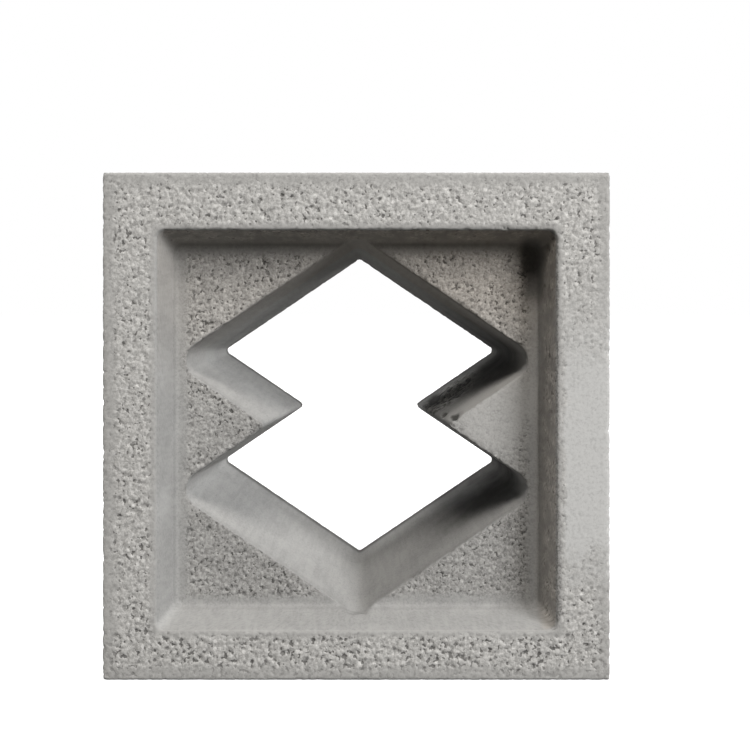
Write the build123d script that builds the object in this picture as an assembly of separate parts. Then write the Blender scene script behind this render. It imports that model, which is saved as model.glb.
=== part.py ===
"""Hollow screen block, cast in one piece of dry concrete.

A square block with a plain border round a shallow square recess. Two overlapping diamonds,
one above the other, open right through the floor of the recess to the back of the block.
Millimetres, +Z up. The origin is at the middle of the bottom bed, and the patterned face
looks towards -Y.
"""

import os

from build123d import *

# Outer block
block_width = 190.0
block_height = 190.0
block_depth = 90.0
outer_arris = 1.0

# Shallow recess in the patterned face, with leaning walls
border = 20.0
recess_depth = 15.0
recess_draft = 18.5
recess_corner_radius = 3.5
mouth_arris = 1.0
floor_cove = 1.5

# The recess and the opening sit this far below the middle of the face
pattern_drop = 1.5

# Two overlapping diamonds. Carried forward to the patterned face with sharp corners, their tips
# would touch the mouth and their side corners would come this close to it. So the top and bottom
# tips notch the leaning walls behind the mouth.
diamond_spacing = 50.0
side_land = 1.2

# The walls of the opening close in towards the back of the block, so the round corners of the
# diamonds grow tighter on the way. The notches between the diamonds keep their radius.
opening_draft = 4.4
corner_radius = 8.5
notch_radius = 1.8
front_rim_arris = 0.8
back_rim_arris = 1.2

# Values that follow from the sizes above
mouth_width = block_width - 2 * border
mouth_height = block_height - 2 * border
diamond_reach = mouth_width / 2 - side_land
diamond_rise = mouth_height / 2 - diamond_spacing / 2
touching = 0.001

# The pattern is drawn flat, growing upwards, and then stood up so that it grows from the
# patterned face into the block
into_block = Plane(
    origin=(0, -block_depth / 2, block_height / 2 - pattern_drop), x_dir=(-1, 0, 0), z_dir=(0, 1, 0)
)


def make_body():
    """Plain block with its outer arrises slightly rounded."""
    body = Pos(0, 0, block_height / 2) * Box(block_width, block_depth, block_height)
    return fillet(body.edges(), outer_arris)


def make_recess():
    """Hollow of the recess: leaning walls, round corners and a small cove round its floor."""
    hollow = extrude(Rectangle(mouth_width, mouth_height), amount=recess_depth, taper=recess_draft)
    hollow = fillet(hollow.edges().group_by(Axis.Z)[1], recess_corner_radius)
    floor = hollow.faces().sort_by(Axis.Z)[-1]
    return into_block * fillet(floor.edges(), floor_cove)


def make_diamond(height):
    """Hollow of one diamond with round corners, this far above the middle of the pattern."""
    corners = [
        (0, height + diamond_rise),
        (-diamond_reach, height),
        (0, height - diamond_rise),
        (diamond_reach, height),
    ]
    outline = make_face(FilletPolyline(*corners, radius=corner_radius, close=True))
    return extrude(outline, amount=block_depth, taper=opening_draft)


def make_opening():
    """Hollow of both diamonds, joined, with the notches between them slightly rounded."""
    hollow = make_diamond(diamond_spacing / 2) + make_diamond(-diamond_spacing / 2)
    notches = hollow.edges().filter_by(lambda edge: abs(edge.center().Y) < touching)
    return into_block * fillet(notches, notch_radius)


def ease_mouth(body):
    """Round the arris between the patterned face and the walls of the recess."""
    patterned_face = body.faces().sort_by(Axis.Y)[0]
    return fillet(patterned_face.inner_wires()[0].edges(), mouth_arris)


def ease_front_rim(body, opening):
    """Round the rim where the opening meets the floor, the cove and the wall of the recess."""
    floor_level = recess_depth - block_depth / 2

    def on_rim(edge):
        middle = edge @ 0.5
        return middle.Y < floor_level + touching and opening.distance_to(middle) < touching

    return fillet(body.edges().filter_by(on_rim), front_rim_arris)


def ease_back_rim(body):
    """Round the rim of the opening in the back face."""
    back_face = body.faces().sort_by(Axis.Y)[-1]
    return fillet(back_face.inner_wires()[0].edges(), back_rim_arris)


opening = make_opening()
screen_block = ease_mouth(make_body() - make_recess())
screen_block = ease_front_rim(screen_block - opening, opening)
screen_block = ease_back_rim(screen_block)

os.makedirs("parts", exist_ok=True)
export_step(screen_block, "parts/screen_block.step")
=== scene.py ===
"""Looks of the hollow screen block: its granular and mould-slid cast surface, the light and the
camera. Metres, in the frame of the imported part. The patterned face looks towards -Y."""

import math
import random

import bmesh
import bpy
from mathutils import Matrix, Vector
from mathutils.bvhtree import BVHTree
from mathutils.geometry import delaunay_2d_cdt
from mathutils.kdtree import KDTree


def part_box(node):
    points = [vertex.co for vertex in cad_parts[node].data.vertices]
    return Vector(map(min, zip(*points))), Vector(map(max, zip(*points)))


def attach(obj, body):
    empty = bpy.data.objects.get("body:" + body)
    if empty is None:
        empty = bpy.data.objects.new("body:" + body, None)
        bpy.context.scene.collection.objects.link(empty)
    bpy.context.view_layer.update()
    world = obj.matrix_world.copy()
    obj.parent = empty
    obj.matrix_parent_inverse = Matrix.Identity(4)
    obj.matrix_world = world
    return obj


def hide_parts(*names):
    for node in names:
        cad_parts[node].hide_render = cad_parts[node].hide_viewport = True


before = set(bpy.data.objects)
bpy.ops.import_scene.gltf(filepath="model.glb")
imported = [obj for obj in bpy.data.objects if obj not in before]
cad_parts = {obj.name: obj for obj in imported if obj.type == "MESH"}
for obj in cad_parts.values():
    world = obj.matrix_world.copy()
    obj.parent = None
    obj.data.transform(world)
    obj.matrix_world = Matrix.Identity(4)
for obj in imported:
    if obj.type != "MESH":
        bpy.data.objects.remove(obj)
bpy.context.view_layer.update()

MM = 0.001
node_name = "screen_block"
low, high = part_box(node_name)
middle = (low + high) / 2
block_depth = high.y - low.y
half_block = high.x - middle.x

# How deep the parts of the block lie behind the patterned face, and the arrises of its outer edges
# and of the back rim
wall_foot = 13.6 * MM
recess_depth = 15.0 * MM
rim_depth = 15.9 * MM
outer_arris = 1.0 * MM
back_arris = 1.3 * MM

# How far the mouth of the recess and the foot of its walls lie from the middle of the pattern,
# which sits a little below the middle of the face
mouth_reach = 75.0 * MM
foot_reach = 70.0 * MM
pattern_drop = 1.5 * MM

# Distance between the points of the surface on each part of the block
border_spacing = 0.71 * MM
floor_spacing = 0.71 * MM
recess_wall_spacing = 1.0 * MM
opening_wall_spacing = 2.0 * MM
back_spacing = 1.3 * MM
side_spacing = 2.8 * MM
finest_edge = 0.20 * MM

# Relief of the cast surface
sand_height = 0.29 * MM
void_depth = 0.44 * MM
waviness = 0.06 * MM
slid_level = 0.04 * MM
drag_height = 0.06 * MM
arris_wear = 0.50 * MM
chip_depth = 0.9 * MM
deepest = 0.95 * MM

# Size of what shows in the surface. The grain is finer in the recess than on the border.
sand_size = 1.95 * MM
void_size = 1.65 * MM
speck_size = 1.15 * MM
stone_spacing = 1.8 * MM
pinhole_spacing = 4.5 * MM
crumb_size = 2.6 * MM
drag_width = 2.2 * MM
crowd_size = 8 * MM
outline_size = 11 * MM
cloud_size = 14 * MM
wave_length = 16 * MM
finer_by = 1.35

# Marks that the mould left: chips on the wall of the opening behind its right notch, open grain
# round them, and a smooth patch on the recess floor beside them. Each is a place and a reach, and
# the mould drew the chips out along Y.
notch_chips = (
    (middle + Vector((38.6, -24.0, 0.7)) * MM, 2.6 * MM),
    (middle + Vector((35.2, -10.0, 0.3)) * MM, 2.0 * MM),
    (middle + Vector((32.6, 28.0, 3.0)) * MM, 4.5 * MM),
)
drawn_out = Vector((1.0, 0.4, 1.0))
torn_wall = middle + Vector((36.5, 18.0, 5.0)) * MM, 24 * MM
smooth_floor = middle + Vector((52.0, -30.0, 4.0)) * MM, 24 * MM


def grey(red, warmth=0.0):
    """Opaque cement grey of this red value, with less green and blue the warmer it is."""
    return (red, red * (0.988 - warmth), red * (0.96 - 2 * warmth), 1.0)


# Colours of the open grain
dull_sand = grey(0.36, 0.005)
pale_sand = grey(0.56)
light_stone = grey(0.74)
dark_stone = grey(0.15)
# Painted shade in the hollows between the lumps of sand
hollow_painted_shade = grey(0.17, 0.01)
# Painted shade at the bottom of the voids
void_painted_shade = grey(0.09, 0.02)
floor_shade = grey(0.0)

# Colours of the cement paste
damp_paste = grey(0.29, -0.01)
mould_paste = grey(0.325, -0.01)
struck_paste = grey(0.37)
patch_paste = grey(0.545, -0.015)
# Paste of the smooth patch on the recess floor, partly lightened as painted light
floor_paste_painted_light = grey(0.44)
light_speck = grey(0.47)
dark_speck = grey(0.17)
bloom = grey(0.58)

# Colours of the dark lines and the ragged mouth, and of painted shade and painted shadow
# Painted shade in the pinholes
pinhole_painted_shade = grey(0.08, 0.01)
# Painted shade along the cove at the foot of the recess walls
cove_painted_shade = grey(0.1)
mouth_line = grey(0.2)
outer_line = grey(0.15, 0.01)
rim_line = grey(0.06, 0.02)
# Painted shade in the right corners of the opening
corner_painted_shade = grey(0.035, 0.03)
# Painted shadow down the top right corner of the recess
corner_painted_shadow = grey(0.05, 0.02)
ragged_mouth = grey(0.10, 0.02)
# Painted shade in the broken grain beside the right notch
broken_grain_painted_shade = grey(0.05, 0.01)
# Painted shade at the bottom of the chips
chip_painted_shade = grey(0.06, 0.02)
# Painted warm shade on the top and right sides of the recess
warm_painted_shade = (1.0, 0.93, 0.86, 1.0)


class Wire:
    """One output socket of a node. Arithmetic on it adds the Math nodes that work it out."""

    def __init__(self, tree, socket):
        self.tree = tree
        self.socket = socket

    @classmethod
    def add(cls, tree, kind, settings=None, inputs=None, output=None):
        """Make a node from its type, its settings and the values or links of its sockets."""
        node = tree.nodes.new(kind)
        for name, value in (settings or {}).items():
            setattr(node, name, value)
        for name, value in (inputs or {}).items():
            if isinstance(name, int):
                socket = node.inputs[name]
            else:
                socket = next(s for s in node.inputs if s.enabled and s.name == name)
            if isinstance(value, Wire):
                tree.links.new(value.socket, socket)
            else:
                socket.default_value = value
        shown = [s for s in node.outputs if s.enabled and output in (None, s.name)]
        return cls(tree, shown[0] if shown else None)

    def beside(self, name):
        """Another output of the same node."""
        return Wire(self.tree, self.socket.node.outputs[name])

    def maths(self, operation, other=0.0):
        inputs = {0: self, 1: other}
        return Wire.add(self.tree, "ShaderNodeMath", {"operation": operation}, inputs)

    def __add__(self, other):
        return self.maths("ADD", other)

    __radd__ = __add__

    def __mul__(self, other):
        return self.maths("MULTIPLY", other)

    __rmul__ = __mul__

    def __sub__(self, other):
        return self.maths("SUBTRACT", other)

    def __rsub__(self, other):
        return self * -1.0 + other

    def size(self):
        """The value without its sign."""
        return self.maths("ABSOLUTE")

    def least(self, other):
        return self.maths("MINIMUM", other)

    def most(self, other):
        return self.maths("MAXIMUM", other)

    def ramp(self, start, end, first=0.0, last=1.0):
        """Smooth step from first to last as this value goes from start to end."""
        settings = {"interpolation_type": "SMOOTHSTEP"}
        inputs = {"Value": self, "From Min": start, "From Max": end, "To Min": first, "To Max": last}
        return Wire.add(self.tree, "ShaderNodeMapRange", settings, inputs, "Result")

    def parts(self):
        """X, Y and Z of a vector, or red, green and blue of a colour."""
        across = Wire.add(self.tree, "ShaderNodeSeparateXYZ", {}, {0: self}, "X")
        return across, across.beside("Y"), across.beside("Z")

    def vector(self, operation, *others):
        inputs = dict(enumerate((self, *others)))
        return Wire.add(self.tree, "ShaderNodeVectorMath", {"operation": operation}, inputs)


class Zones:
    """Where a point of the surface lies on the block, and masks that are 1 in a zone and 0 outside."""

    def __init__(self, place):
        across, behind, up = place.parts()
        self.place = place
        self.across = across - middle.x
        self.up = up - middle.z
        self.depth = behind - low.y
        self.from_middle = self.across.size().most(self.up.size())

    def front_half(self):
        """1 as deep as the middle of the block."""
        return self.depth.ramp(block_depth / 2, block_depth / 2 + 1 * MM, 1.0, 0.0)

    def recess_floor(self):
        """1 on the recess floor, and on the walls of the opening behind it to the middle of the block."""
        return self.depth.ramp(wall_foot, wall_foot + 1 * MM) * self.front_half()

    def within_border(self):
        """1 in the recess, in the opening and on the back round it, and 0 on the outer half of the
        border and beyond."""
        return self.from_middle.ramp(mouth_reach + 5 * MM, mouth_reach + 9 * MM, 1.0, 0.0)

    def recess(self):
        """1 on the walls and the floor of the recess and in the front half of the opening."""
        return self.within_border() * self.depth.ramp(0.5 * MM, 2 * MM) * self.front_half()

    def outer_sides(self):
        """1 on the ends, the top and the bottom."""
        return self.from_middle.ramp(half_block - 0.3 * MM, half_block - 0.05 * MM)

    def outer_edges(self):
        """1 along the twelve outer edges."""
        from_both = self.across.size().least(self.up.size())
        at_edge = from_both.ramp(half_block - 3 * MM, half_block - 1.5 * MM)
        at_edge = at_edge.most(self.depth.ramp(1 * MM, 2.5 * MM, 1.0, 0.0))
        at_edge = at_edge.most(self.depth.ramp(block_depth - 2.5 * MM, block_depth - 1 * MM))
        return at_edge * self.from_middle.ramp(half_block - 1 * MM, half_block - 0.2 * MM)


def mix(factor, first, second, blend="MIX"):
    """Colour that goes from first to second as the factor goes from 0 to 1."""
    inputs = {"Factor": factor, "A": first, "B": second}
    settings = {"data_type": "RGBA", "blend_type": blend}
    return Wire.add(factor.tree, "ShaderNodeMix", settings, inputs)


def noise(place, size, detail=2.0, roughness=0.5):
    """Cloudy pattern from 0 to 1, with features about this size."""
    inputs = {"Vector": place, "Scale": 1 / size, "Detail": detail, "Roughness": roughness}
    return Wire.add(place.tree, "ShaderNodeTexNoise", {}, inputs)


def shaken(place, size, amount, detail=2.0):
    """Place pushed about by noise, which makes the outlines of a pattern uneven."""
    push = noise(place, size, detail).beside("Color")
    return push.vector("MULTIPLY_ADD", (amount, amount, amount), place)


def cells(place, size):
    """Distance from the middles of cells scattered about this far apart, in cells."""
    inputs = {"Vector": place, "Scale": 1 / size}
    return Wire.add(place.tree, "ShaderNodeTexVoronoi", {}, inputs, "Distance")


def chance(cell, axis=0):
    """Random number from 0 to 1 for each cell. It also places the middle of the cell along this axis,
    so a face that lies square to the axis would show only some of the values."""
    return cell.beside("Color").parts()[axis]


def near(place, spot, reach):
    """1 at this spot and 0 further from it than this, with an uneven outline."""
    stray = 0.8 * reach
    mean_push = Vector((0.5, 0.5, 0.5)) * stray
    inputs = {0: shaken(place, reach, stray, 3.0), 1: spot + mean_push}
    away = Wire.add(place.tree, "ShaderNodeVectorMath", {"operation": "DISTANCE"}, inputs, "Value")
    return away.ramp(0.5 * reach, reach, 1.0, 0.0)


def chips(place):
    """1 in the chips beside the right notch of the opening."""
    drawn = place.vector("MULTIPLY", drawn_out)
    first, second, third = (near(drawn, spot * drawn_out, reach) for spot, reach in notch_chips)
    return first.most(second).most(third)


def finer_inside(place):
    """Place drawn together behind the patterned face, so that the grain is finer there."""
    fineness = Zones(place).depth.ramp(1 * MM, wall_foot, 1.0, finer_by)
    return place.vector("MULTIPLY", fineness)


def sand_relief(place):
    """Flat-topped lumps of sand and cement, from 0 in the hollows between them to 1 on top."""
    return noise(finer_inside(place), sand_size, 2.0, 0.6).ramp(0.30, 0.62)


def void_relief(place):
    """Voids with uneven outlines, denser in some places: 1 at the bottom and 0 outside them."""
    zones = Zones(place)
    crowd = noise(place, crowd_size) * 0.3
    near_bottom = zones.up.ramp(5 * MM - half_block, 35 * MM - half_block, -0.06, 0.0)
    on_border = zones.depth.ramp(1 * MM, wall_foot, 0.003, 0.0)
    pits = noise(shaken(finer_inside(place), 0.8 * MM, 0.7 * MM), void_size, 1.0)
    return (pits + (crowd + near_bottom + on_border)).ramp(0.45, 0.53, 1.0, 0.0)


def drag_relief(place):
    """Low streaks left along Y where the mould slid off the wet concrete, from 0 to 1."""
    return noise(place.vector("MULTIPLY", (1.0, 0.11, 1.0)), drag_width, 3.0, 0.6)


def specks_of_grain(place):
    """Fine specks, from 0 to 1, finer in the recess."""
    return noise(finer_inside(place), speck_size, 3.0, 0.7)


def pinhole_marks(zones):
    """1 in the small round holes on the ends, the top and the bottom."""
    pores = cells(shaken(zones.place, 1.0 * MM, 0.8 * MM), pinhole_spacing)
    return pores.ramp(0.07, 0.14, 1.0, 0.0) * chance(pores, 1).ramp(0.50, 0.52) * zones.outer_sides()


def outline_push(place):
    """Cloudy number from -0.5 to 0.5 that makes the outlines of the closed grain uneven."""
    return noise(place, outline_size, 3.0, 0.6) - 0.5


def paste_patch(place):
    """1 on the smooth pale patch half way up the right border of the patterned face."""
    zones = Zones(place)
    push = outline_push(place)
    past_mouth = (zones.across + push * (7 * MM)).ramp(mouth_reach + 1 * MM, mouth_reach + 4 * MM)
    height = zones.up + push * (40 * MM)
    above_start = height.ramp(-66 * MM, -42 * MM)
    below_end = height.ramp(12 * MM, 72 * MM, 1.0, 0.0)
    return past_mouth * above_start * below_end


def closed_grain(place):
    """1 where cement paste closes the grain of the struck faces, and 0 where it is open: a patch
    half way up the right border, narrow bands along the outer edge and the mouth, and a strip of
    the recess floor at the foot of its walls."""
    zones = Zones(place)
    push = outline_push(place)
    to_edge = half_block - zones.from_middle
    band = (to_edge + push * (9 * MM)).ramp(2.5 * MM, 7.0 * MM, 0.8, 0.0)
    from_pattern = zones.across.size().most((zones.up + pattern_drop).size()) + push * (4 * MM)
    strip = from_pattern.ramp(mouth_reach + 1 * MM, mouth_reach + 3 * MM, 0.9, 0.0)
    border = paste_patch(place).most(band).most(strip)
    foot = from_pattern.ramp(foot_reach - 6 * MM, foot_reach - 2 * MM)
    foot = foot.most(near(place, *smooth_floor) * 0.9)
    on_border = zones.depth.ramp(1 * MM, 2 * MM, 1.0, 0.0)
    on_floor = zones.front_half() - on_border
    return border * on_border + foot * on_floor


def zone_spacing(face):
    """Distance between surface points that suits the part of the block a face belongs to."""
    centre = face.calc_center_median()
    depth = centre.y - low.y
    to_side = min(centre.x - low.x, high.x - centre.x, centre.z - low.z, high.z - centre.z)
    if depth < outer_arris:
        return border_spacing
    if high.y - centre.y < back_arris:
        return back_spacing
    if to_side < outer_arris:
        return side_spacing
    if depth < wall_foot:
        return recess_wall_spacing
    if depth < rim_depth:
        return floor_spacing
    return opening_wall_spacing


def split_edge(edge, pieces):
    """Cut an edge into equal pieces."""
    corner = edge.verts[0]
    for left in range(pieces, 1, -1):
        _, corner = bmesh.utils.edge_split(edge, corner, 1 / left)


def scatter(flat, spacing, dice):
    """Points inside the bounds of a flat outline, uneven and this far from each other and from it."""
    rim = KDTree(len(flat))
    for number, point in enumerate(flat):
        rim.insert((*point, 0.0), number)
    rim.balance()
    clear_of_rim = 0.7 * spacing
    left, right = min(p.x for p in flat), max(p.x for p in flat)
    bottom, top = min(p.y for p in flat), max(p.y for p in flat)
    if min(right - left, top - bottom) < spacing:
        return []
    points = []
    for column in range(int((right - left) / spacing) + 1):
        for row in range(int((top - bottom) / spacing) + 1):
            x = left + (column + dice.uniform(0.25, 0.75)) * spacing
            y = bottom + (row + dice.uniform(0.25, 0.75)) * spacing
            if rim.find((x, y, 0.0))[2] > clear_of_rim:
                points.append(Vector((x, y)))
    return points


def fill_evenly(work, face, spacing, dice, true_surface):
    """Put triangles of about the same size in place of a face, on the corners it already has."""
    normal = face.normal.copy()
    across = normal.orthogonal().normalized()
    up = normal.cross(across)
    rim = list(face.verts)
    level = normal * normal.dot(face.calc_center_median())
    flat = [Vector((across.dot(v.co), up.dot(v.co))) for v in rim]
    points = flat + scatter(flat, spacing, dice)
    outline = [list(range(len(rim)))]
    inside_only = 1
    tolerance = 1e-7
    filled = delaunay_2d_cdt(points, [], outline, inside_only, tolerance)
    places, _, triangles, origins, _, _ = filled
    corners = {}

    def corner(number):
        if number not in corners:
            source = min(origins[number])
            if source < len(rim):
                corners[number] = rim[source]
            else:
                place = level + across * places[number].x + up * places[number].y
                corners[number] = work.verts.new(true_surface.find_nearest(place)[0])
        return corners[number]

    work.faces.remove(face)
    for triangle in triangles:
        work.faces.new([corner(number) for number in triangle])


def make_surface():
    """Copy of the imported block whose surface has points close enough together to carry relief."""
    same_point = 0.05 * MM
    flat_within = 0.2
    dice = random.Random(7)
    work = bmesh.new()
    work.from_mesh(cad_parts[node_name].data)
    bmesh.ops.remove_doubles(work, verts=work.verts, dist=same_point)
    true_surface = BVHTree.FromBMesh(work)
    bmesh.ops.dissolve_limit(work, angle_limit=flat_within, verts=work.verts, edges=work.edges)
    spacing = {face: zone_spacing(face) for face in work.faces}
    for edge in list(work.edges):
        closest = min(spacing[face] for face in edge.link_faces)
        split_edge(edge, max(1, round(edge.calc_length() / closest)))
    for face in list(work.faces):
        if len(face.verts) > 3:
            fill_evenly(work, face, spacing[face], dice, true_surface)
    bmesh.ops.dissolve_degenerate(work, dist=finest_edge, edges=work.edges)
    bmesh.ops.triangulate(work, faces=work.faces)
    for face in work.faces:
        face.smooth = True
    mesh = bpy.data.meshes.new("cast_block")
    work.to_mesh(mesh)
    work.free()
    return mesh


def open_share(place, normal):
    """How open the grain is on each part of the block, from 0 to 1: open on the flat faces, in
    patches on the top and right walls of the recess, and torn open beside the right notch."""
    to_right, towards_back, upwards = normal.parts()
    flat_on = towards_back.size().ramp(0.80, 0.97)
    struck = flat_on * (1.0 - 0.9 * closed_grain(place))
    depth = Zones(place).depth
    sheltered = (to_right * -1.0).most(upwards * -1.0).ramp(0.5, 0.8)
    sheltered = sheltered * depth.ramp(0.3 * MM, 1 * MM) * depth.ramp(8 * MM, 13 * MM, 1.0, 0.0)
    patches = noise(place, 6 * MM, 2.0).ramp(0.35, 0.6)
    return struck.most(sheltered * 0.9 * patches).most(near(place, *torn_wall))


def worn_share(tree):
    """How much an arris is worn, from 0 on the faces to 1 along the edges."""
    bend = Wire.add(tree, "GeometryNodeInputMeshEdgeAngle", {}, {}, "Signed Angle").ramp(0.02, 0.3)
    blur = {"Value": bend, "Iterations": 2}
    return Wire.add(tree, "GeometryNodeBlurAttribute", {"data_type": "FLOAT"}, blur).ramp(0.0, 0.45)


def relief_tree():
    """Geometry Nodes that press the cast surface inwards: grain, voids, drag marks, worn arrises."""
    tree = bpy.data.node_groups.new("Cast relief", "GeometryNodeTree")
    tree.interface.new_socket("Block", in_out="INPUT", socket_type="NodeSocketGeometry")
    sizes = {
        "Sand height": sand_height,
        "Void depth": void_depth,
        "Waviness": waviness,
        "Slid level": slid_level,
        "Drag height": drag_height,
        "Arris wear": arris_wear,
        "Chip depth": chip_depth,
        "Deepest": deepest,
    }
    for name in sizes:
        tree.interface.new_socket(name, in_out="INPUT", socket_type="NodeSocketFloat")
    tree.interface.new_socket("Concrete", in_out="INPUT", socket_type="NodeSocketMaterial")
    tree.interface.new_socket("Block", in_out="OUTPUT", socket_type="NodeSocketGeometry")
    given = Wire.add(tree, "NodeGroupInput", {}, {}, "Block")
    place = Wire.add(tree, "GeometryNodeInputPosition")
    normal = Wire.add(tree, "GeometryNodeInputNormal")
    granular = open_share(place, normal)
    worn = worn_share(tree)

    rough = (1.0 - sand_relief(place)) * given.beside("Sand height")
    rough = rough + void_relief(place) * given.beside("Void depth")
    slid = drag_relief(place) * given.beside("Drag height") + given.beside("Slid level")
    depth = granular * rough + (1.0 - granular) * slid
    depth = depth + noise(place, wave_length) * given.beside("Waviness")
    crumbs = noise(place, crumb_size, 3.0, 0.6).ramp(0.45, 0.75)
    depth = depth + worn * crumbs * given.beside("Arris wear")
    depth = (depth + chips(place) * given.beside("Chip depth")).least(given.beside("Deepest"))

    marked = given
    for name, kind, value in (
        ("cast_place", "FLOAT_VECTOR", place),
        ("granular", "FLOAT", granular),
        ("worn", "FLOAT", worn),
    ):
        inputs = {"Geometry": marked, "Name": name, "Value": value}
        settings = {"data_type": kind, "domain": "POINT"}
        marked = Wire.add(tree, "GeometryNodeStoreNamedAttribute", settings, inputs)
    scaled = {0: normal, "Scale": depth * -1.0}
    inwards = Wire.add(tree, "ShaderNodeVectorMath", {"operation": "SCALE"}, scaled)
    shaped = Wire.add(tree, "GeometryNodeSetPosition", {}, {"Geometry": marked, "Offset": inwards})
    solid = Wire.add(tree, "GeometryNodeRealizeInstances", {}, {"Geometry": shaped})
    painted = {"Geometry": solid, "Material": given.beside("Concrete")}
    finished = Wire.add(tree, "GeometryNodeSetMaterial", {}, painted)
    Wire.add(tree, "NodeGroupOutput", {}, {"Block": finished})
    return tree, sizes


def apply_relief(mesh, material):
    """The block with its relief, as a plain mesh object."""
    tree, sizes = relief_tree()
    block = bpy.data.objects.new("cast_screen_block", mesh)
    bpy.context.scene.collection.objects.link(block)
    modifier = block.modifiers.new("relief", "NODES")
    modifier.node_group = tree
    sockets = [item for item in tree.interface.items_tree if item.in_out == "INPUT"]
    identifiers = {item.name: item.identifier for item in sockets}
    for name, value in {**sizes, "Concrete": material}.items():
        modifier[identifiers[name]] = value
    graph = bpy.context.evaluated_depsgraph_get()
    shaped = bpy.data.meshes.new_from_object(block.evaluated_get(graph))
    block.modifiers.remove(modifier)
    block.data = shaped
    return block


def open_grain(zones, specks):
    """Colour of the struck faces: sand, lighter and darker stones, and painted shade in the hollows
    and the voids. The recess floor is a little darker, and most so at the bottom."""
    stones = cells(shaken(zones.place, 0.7 * MM, 0.7 * MM), stone_spacing)
    in_stone = stones.ramp(0.3, 0.5, 1.0, 0.0)
    colour = mix(specks.ramp(0.35, 0.65), dull_sand, pale_sand)
    colour = mix(in_stone * chance(stones).ramp(0.74, 0.80, 0.0, 0.6), colour, light_stone)
    colour = mix(in_stone * chance(stones).ramp(0.08, 0.14, 0.7, 0.0), colour, dark_stone)
    # Painted shade in the hollows between the lumps of sand
    colour = mix(sand_relief(zones.place).ramp(0.0, 0.5, 0.38, 0.0), colour, hollow_painted_shade)
    # Painted shade at the bottom of the voids
    colour = mix(void_relief(zones.place) * 0.82, colour, void_painted_shade)
    shade = zones.recess_floor() * zones.up.ramp(-60 * MM, 60 * MM, 0.315, 0.165)
    return mix(shade, colour, floor_shade)


def closed_paste(zones, specks):
    """Colour of the smooth cement paste, where the mould slid and in the patches that close the
    grain of the border and the recess floor. The patch on the recess floor is also lighter as painted
    light."""
    colour = mix(drag_relief(zones.place).ramp(0.35, 0.65), damp_paste, mould_paste)
    colour = mix(specks.ramp(0.35, 0.65, 0.0, 0.15), colour, light_speck)
    on_border = zones.depth.ramp(0.6 * MM, 1.2 * MM, 1.0, 0.0)
    border = mix(on_border, colour, struck_paste)
    colour = mix(on_border * paste_patch(zones.place), border, patch_paste)
    # Paste of the smooth patch on the recess floor, partly lightened as painted light
    colour = mix(near(zones.place, *smooth_floor) * zones.recess_floor() * 0.8, colour, floor_paste_painted_light)
    return mix(specks.ramp(0.32, 0.52, 0.22, 0.0), colour, dark_speck)


def shade_and_mark_paste(colour, zones, pinholes):
    """The paste with a dark line along the back rim, and painted shade along the cove, towards the
    right corners of the opening and in the pinholes."""
    back_rim = zones.depth.ramp(block_depth - 7 * MM, block_depth - 2 * MM) * zones.within_border()
    colour = mix(back_rim * 0.85, colour, rim_line)
    # Painted shade in the right corners of the opening
    corner_shade_mask = zones.across.ramp(12 * MM, 64 * MM) * zones.depth.ramp(18 * MM, 45 * MM)
    colour = mix(corner_shade_mask * zones.within_border() * 0.85, colour, corner_painted_shade)
    # Painted shade along the cove at the foot of the recess walls
    cove = zones.depth.ramp(wall_foot - 1.2 * MM, wall_foot - 0.2 * MM) * zones.within_border()
    cove = cove * zones.depth.ramp(recess_depth - 0.7 * MM, recess_depth, 1.0, 0.0)
    colour = mix(cove * 0.15, colour, cove_painted_shade)
    # Painted shade in the pinholes
    return mix(pinholes * 0.8, colour, pinhole_painted_shade)


def darken_arrises(colour, zones, specks, worn):
    """The colour with a dark line along the outer edges and the mouth, ragged on its right side."""
    colour = mix(worn * zones.outer_edges() * 0.45, colour, outer_line)
    mouth = zones.from_middle.ramp(mouth_reach + 1.5 * MM, mouth_reach + 3 * MM, 1.0, 0.0)
    mouth = worn * mouth * zones.front_half()
    colour = mix(mouth * 0.3, colour, mouth_line)
    right_mouth = mouth * zones.across.ramp(mouth_reach - 3 * MM, mouth_reach - 1 * MM)
    return mix(right_mouth * specks.ramp(0.40, 0.55, 0.7, 0.0), colour, ragged_mouth)


def darken_recess(colour, zones, clouds):
    """The colour with painted warm shade on the top and right sides of the recess, and a painted
    shadow down its top right corner."""
    # Painted warm shade on the top and right sides of the recess
    sheltered = zones.up.ramp(0.0, 68 * MM) * zones.across.ramp(-70 * MM, 60 * MM, 0.45, 1.0)
    sheltered = sheltered.most(zones.across.ramp(68 * MM, 72 * MM, 0.0, 0.65))
    colour = mix(sheltered * zones.recess(), colour, warm_painted_shade, "MULTIPLY")
    # Painted shadow down the top right corner of the recess
    painted_shadow_mask = (zones.across + clouds * (6 * MM)).ramp(65 * MM, 69 * MM)
    painted_shadow_mask = painted_shadow_mask * (zones.up + clouds * (10 * MM)).ramp(48 * MM, 56 * MM)
    painted_shadow_mask = painted_shadow_mask * zones.depth.ramp(6 * MM, wall_foot, 0.15, 0.6)
    return mix(painted_shadow_mask * zones.recess(), colour, corner_painted_shadow)


def shade_broken_grain(colour, place):
    """The colour with painted shade in the broken grain and the chips beside the right notch of the
    opening.
    """
    # Painted shade in the broken grain beside the right notch
    crumbs = noise(place, 3 * MM, 3.0, 0.6).ramp(0.42, 0.58, 0.75, 0.0)
    colour = mix(near(place, *torn_wall) * crumbs, colour, broken_grain_painted_shade)
    # Painted shade at the bottom of the chips
    return mix(chips(place) * 0.9, colour, chip_painted_shade)


def fine_height(place, granular, specks, pinholes):
    """Height of the relief that is too fine for the mesh, for the bump."""
    height = granular * sand_relief(place) * (0.3 * sand_height)
    height = height + specks * (0.7 * granular + 0.15) * (0.16 * MM)
    height = height - granular * void_relief(place) * (0.25 * void_depth)
    height = height + (1.0 - granular) * drag_relief(place) * (0.5 * drag_height)
    return height - pinholes * (0.3 * MM)


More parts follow.
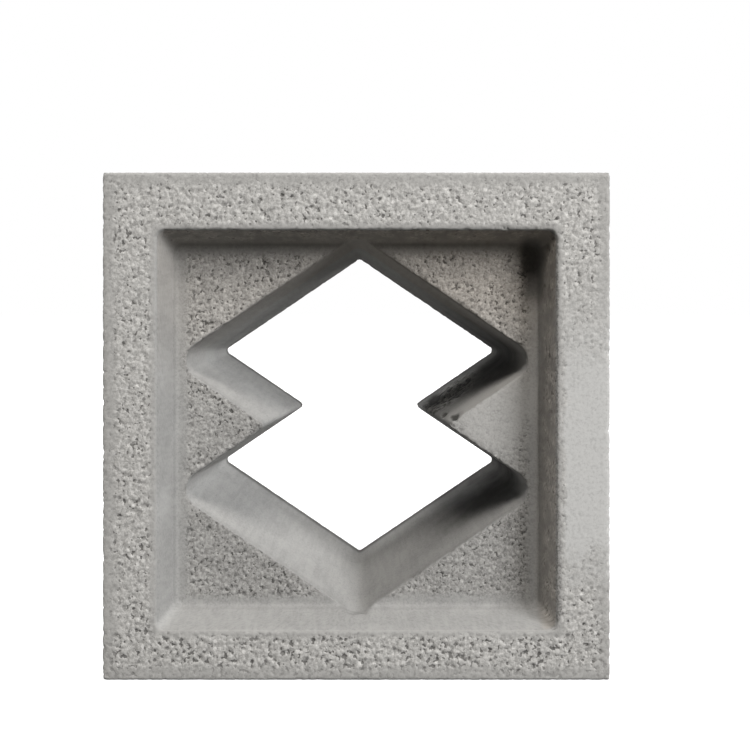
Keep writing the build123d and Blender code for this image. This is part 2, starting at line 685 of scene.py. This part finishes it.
def cast_concrete():
    """Grey cement concrete: speckled and granular where it was struck, smooth where a mould slid."""
    material = bpy.data.materials.new("cast concrete")
    material.use_nodes = True
    tree = material.node_tree
    tree.nodes.clear()

    def attribute(name, output):
        return Wire.add(tree, "ShaderNodeAttribute", {"attribute_name": name}, {}, output)

    place = attribute("cast_place", "Vector")
    zones = Zones(place)
    granular = attribute("granular", "Fac") * (1.0 - zones.outer_sides())
    clouds = noise(place, cloud_size, 3.0, 0.6)
    specks = specks_of_grain(place)
    pinholes = pinhole_marks(zones)
    paste = shade_and_mark_paste(closed_paste(zones, specks), zones, pinholes)
    surface = mix(granular, paste, open_grain(zones, specks))
    surface = mix(clouds.ramp(0.35, 0.7, 0.0, 0.12), surface, bloom)
    surface = darken_arrises(surface, zones, specks, attribute("worn", "Fac"))
    surface = darken_recess(surface, zones, clouds)
    surface = shade_broken_grain(surface, place)
    height = fine_height(place, granular, specks, pinholes)
    bump = Wire.add(tree, "ShaderNodeBump", {}, {"Strength": 1.0, "Distance": 1.0, "Height": height})
    inputs = {
        "Base Color": surface,
        "Roughness": clouds * 0.08 + 0.88,
        "Specular IOR Level": 0.1,
        "Normal": bump,
    }
    shader = Wire.add(tree, "ShaderNodeBsdfPrincipled", {}, inputs)
    Wire.add(tree, "ShaderNodeOutputMaterial", {}, {"Surface": shader})
    return material


def seen_directly(tree):
    """1 for the camera and for what shows in gloss or glass, and 0 for the light on the block."""
    camera = Wire.add(tree, "ShaderNodeLightPath", {}, {}, "Is Camera Ray")
    return camera.most(camera.beside("Is Glossy Ray")).most(camera.beside("Is Transmission Ray"))


def make_floor():
    """Plain white floor that keeps a soft shadow of the block and fades into the white around it."""
    reach = 6.0
    fade_start, fade_end = 0.25, 0.65
    near_glow, far_glow = 0.74, 1.0
    mesh = bpy.data.meshes.new("floor")
    corners = [(-reach, -reach, 0.0), (reach, -reach, 0.0), (reach, reach, 0.0), (-reach, reach, 0.0)]
    mesh.from_pydata(corners, [], [(0, 1, 2, 3)])
    floor = bpy.data.objects.new("floor", mesh)
    floor.location.z = low.z - 0.05 * MM
    bpy.context.scene.collection.objects.link(floor)
    material = bpy.data.materials.new("white floor")
    material.use_nodes = True
    tree = material.node_tree
    tree.nodes.clear()
    place = Wire.add(tree, "ShaderNodeTexCoord", {}, {}, "Object")
    away = Wire.add(tree, "ShaderNodeVectorMath", {"operation": "LENGTH"}, {0: place}, "Value")
    plain = Wire.add(tree, "ShaderNodeBsdfDiffuse", {}, {"Color": (0.05, 0.049, 0.047, 1.0)})
    lit = Wire.add(tree, "ShaderNodeBsdfDiffuse", {}, {"Color": (0.45, 0.45, 0.45, 1.0)})
    strength = away.ramp(fade_start, fade_end, near_glow, far_glow)
    glow = Wire.add(tree, "ShaderNodeEmission", {}, {"Strength": strength})
    shown = Wire.add(tree, "ShaderNodeAddShader", {}, {0: lit, 1: glow})
    surface = Wire.add(tree, "ShaderNodeMixShader", {}, {0: seen_directly(tree), 1: plain, 2: shown})
    Wire.add(tree, "ShaderNodeOutputMaterial", {}, {"Surface": surface})
    mesh.materials.append(material)


def make_world():
    """White all round to look at, with no light of its own on the block."""
    world = bpy.data.worlds.new("studio")
    bpy.context.scene.world = world
    world.use_nodes = True
    tree = world.node_tree
    tree.nodes.clear()
    white = {"Color": (1.0, 1.0, 1.0, 1.0), "Strength": seen_directly(tree)}
    shown = Wire.add(tree, "ShaderNodeBackground", {}, white)
    Wire.add(tree, "ShaderNodeOutputWorld", {}, {"Surface": shown})


def soft_box(name, to_right, up, level, colour=(1.0, 1.0, 1.0)):
    """Square lamp aimed at the block from these angles to the right of and above the line from the
    block to the camera. A white card that faces it there looks this bright."""
    distance = 2.4
    lamp = bpy.data.lights.new(name, "AREA")
    lamp.shape = "SQUARE"
    lamp.size = 0.9
    lamp.energy = level * math.pi ** 2 * distance ** 2
    lamp.color = colour
    to_right = math.radians(to_right)
    up = math.radians(up)
    aim = Vector((math.sin(to_right) * math.cos(up), -math.cos(to_right) * math.cos(up), math.sin(up)))
    holder = bpy.data.objects.new(name, lamp)
    holder.location = middle + aim * distance
    holder.rotation_euler = aim.to_track_quat("Z", "Y").to_euler()
    bpy.context.scene.collection.objects.link(holder)


def back_light(level):
    """Level light from straight behind. The walls of the opening lean away from it, so it falls on
    the back face alone."""
    lamp = bpy.data.lights.new("back light", "SUN")
    lamp.angle = math.radians(2.0)
    lamp.energy = level * math.pi
    holder = bpy.data.objects.new("back light", lamp)
    holder.rotation_euler = Vector((0.0, 1.0, 0.0)).to_track_quat("Z", "Y").to_euler()
    bpy.context.scene.collection.objects.link(holder)


def make_camera():
    """Level camera a little above the middle of the block, so that its upright edges stay upright."""
    from_face = 389 * MM
    above_middle = 50 * MM
    to_right = 7 * MM
    lens = bpy.data.cameras.new("camera")
    lens.lens = 50.0
    lens.sensor_width = 36.0
    lens.shift_y = -0.11
    lens.clip_start = 0.01
    camera = bpy.data.objects.new("camera", lens)
    camera.location = (middle.x + to_right, low.y - from_face, middle.z + above_middle)
    camera.rotation_euler = (math.radians(90.0), 0.0, 0.0)
    bpy.context.scene.collection.objects.link(camera)
    bpy.context.scene.camera = camera


make_camera()
make_world()
make_floor()
soft_box("key light", to_right=48, up=24.5, level=0.91)
soft_box("upper light", to_right=0, up=57, level=0.71, colour=(1.0, 0.965, 0.92))
soft_box("right light", to_right=93, up=12, level=0.50)
soft_box("rear light", to_right=135, up=12, level=0.45)
soft_box("left light", to_right=-97, up=32, level=0.85)
back_light(level=0.5)

block = apply_relief(make_surface(), cast_concrete())
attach(block, "root")
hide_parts(node_name)

bpy.context.scene.view_settings.view_transform = "Standard"
